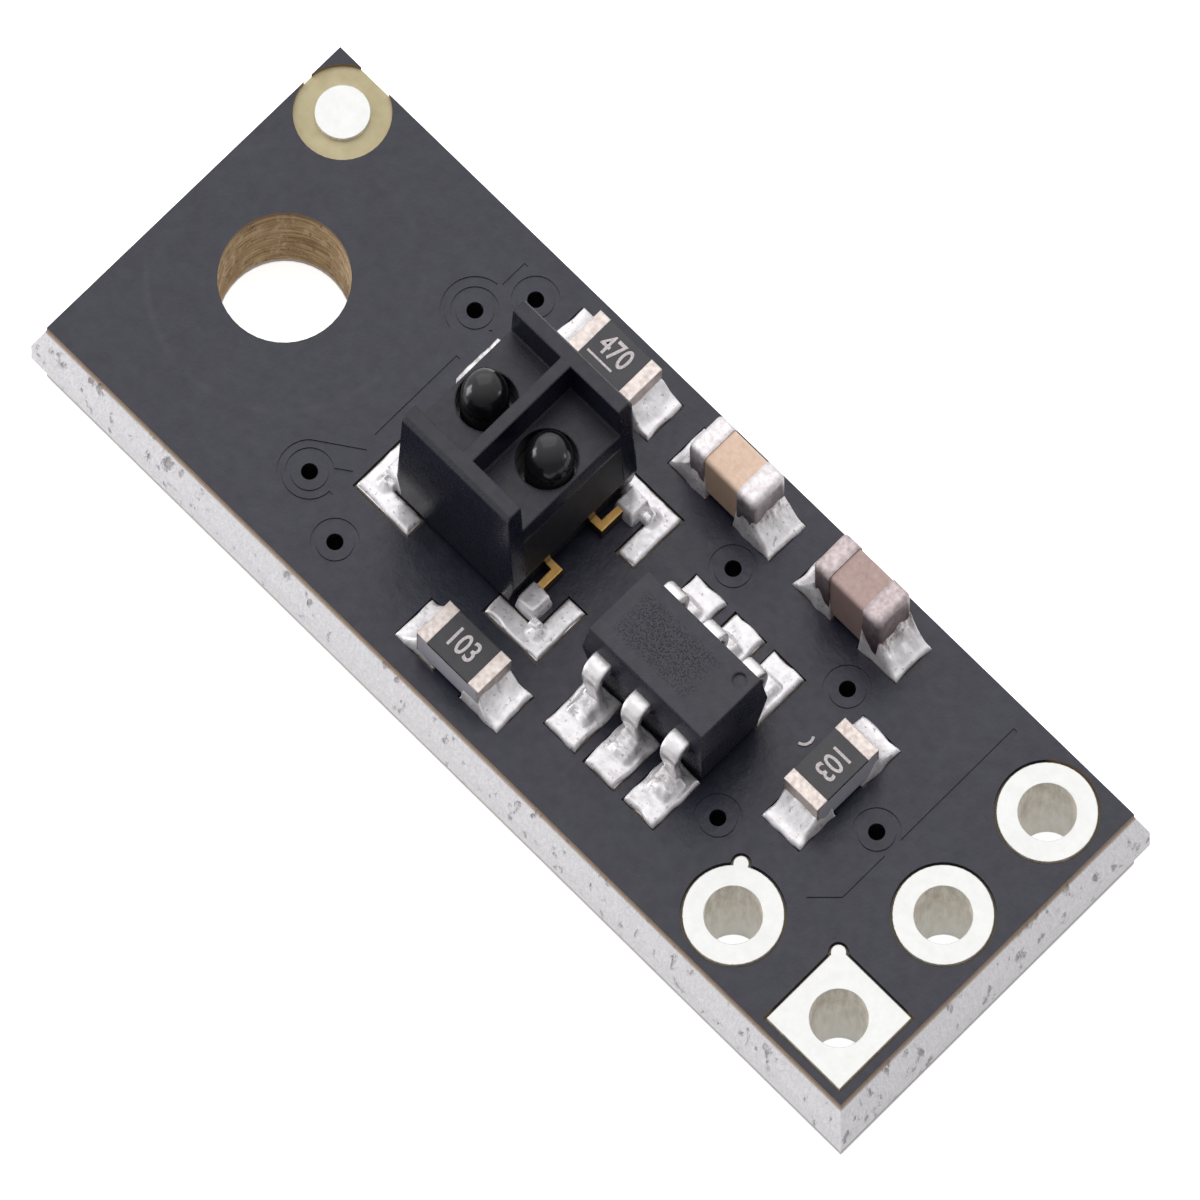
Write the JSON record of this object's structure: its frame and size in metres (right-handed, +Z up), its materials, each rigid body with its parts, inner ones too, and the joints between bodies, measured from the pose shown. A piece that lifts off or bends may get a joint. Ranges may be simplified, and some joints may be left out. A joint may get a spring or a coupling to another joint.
{
  "type": "reflective optical sensor",
  "caption": "Small circuit board with a reflective optical sensor, its driver chip, chip resistors and capacitors, header holes and a mounting hole.",
  "frame": {"origin": "middle of the board's outline at its bottom face", "axes": "+X along the board from the mounting hole to the header holes, +Z up out of the component side, +Y across the board towards the two capacitors"},
  "size_m": [0.0198, 0.0076, 0.0029],
  "materials": {
    "laminate": "woven glass and resin, sawn edge",
    "solder_mask": "satin dark grey coat",
    "copper": "smooth",
    "tin_finish": "bright tinned, slightly uneven",
    "white_ink": "printed",
    "housing_plastic": "matte moulded",
    "dark_resin": "polished",
    "silicon": "polished",
    "gold_plate": "plated, satin",
    "moulding_plastic": "matte moulded",
    "tinned_lead": "satin tinned",
    "solder": "bright, reflowed",
    "tan_ceramic": "matte fired",
    "grey_ceramic": "matte fired",
    "terminal_tin": "matte tinned",
    "white_ceramic": "matte fired",
    "dark_glaze": "glazed"
  },
  "bodies": {
    "root": {"board_laminate": "laminate", "bond_wires": "gold_plate", "capacitor_grey_ceramic": "grey_ceramic", "capacitor_grey_terminal_left": "terminal_tin", "capacitor_grey_terminal_right": "terminal_tin", "capacitor_tan_ceramic": "tan_ceramic", "capacitor_tan_terminal_left": "terminal_tin", "capacitor_tan_terminal_right": "terminal_tin", "component_pads": "tin_finish", "detector_block": "dark_resin", "detector_die": "silicon", "detector_lead_front": "gold_plate", "detector_lead_rear": "gold_plate", "driver_body": "moulding_plastic", "driver_lead_front_1": "tinned_lead", "driver_lead_front_2": "tinned_lead", "driver_lead_front_3": "tinned_lead", "driver_lead_rear_1": "tinned_lead", "driver_lead_rear_2": "tinned_lead", "driver_lead_rear_3": "tinned_lead", "emitter_block": "dark_resin", "emitter_die": "silicon", "emitter_lead_front": "gold_plate", "emitter_lead_rear": "gold_plate", "fiducial_pad": "tin_finish", "ground_plane_bottom": "copper", "ground_plane_top": "copper", "header_hole_end": "tin_finish", "header_hole_inner": "tin_finish", "header_hole_middle": "tin_finish", "header_hole_square": "tin_finish", "resistor_lower_ceramic": "white_ceramic", "resistor_lower_overcoat": "dark_glaze", "resistor_lower_terminal_left": "terminal_tin", "resistor_lower_terminal_right": "terminal_tin", "resistor_side_ceramic": "white_ceramic", "resistor_side_overcoat": "dark_glaze", "resistor_side_terminal_left": "terminal_tin", "resistor_side_terminal_right": "terminal_tin", "resistor_upper_ceramic": "white_ceramic", "resistor_upper_overcoat": "dark_glaze", "resistor_upper_terminal_left": "terminal_tin", "resistor_upper_terminal_right": "terminal_tin", "sensor_housing": "housing_plastic", "solder_capacitor_grey": "solder", "solder_capacitor_tan": "solder", "solder_driver": "solder", "solder_mask_bottom": "solder_mask", "solder_mask_top": "solder_mask", "solder_resistor_lower": "solder", "solder_resistor_side": "solder", "solder_resistor_upper": "solder", "solder_sensor": "solder", "via_barrels": "copper", "white_mark": "white_ink"}
  },
  "joints": []
}
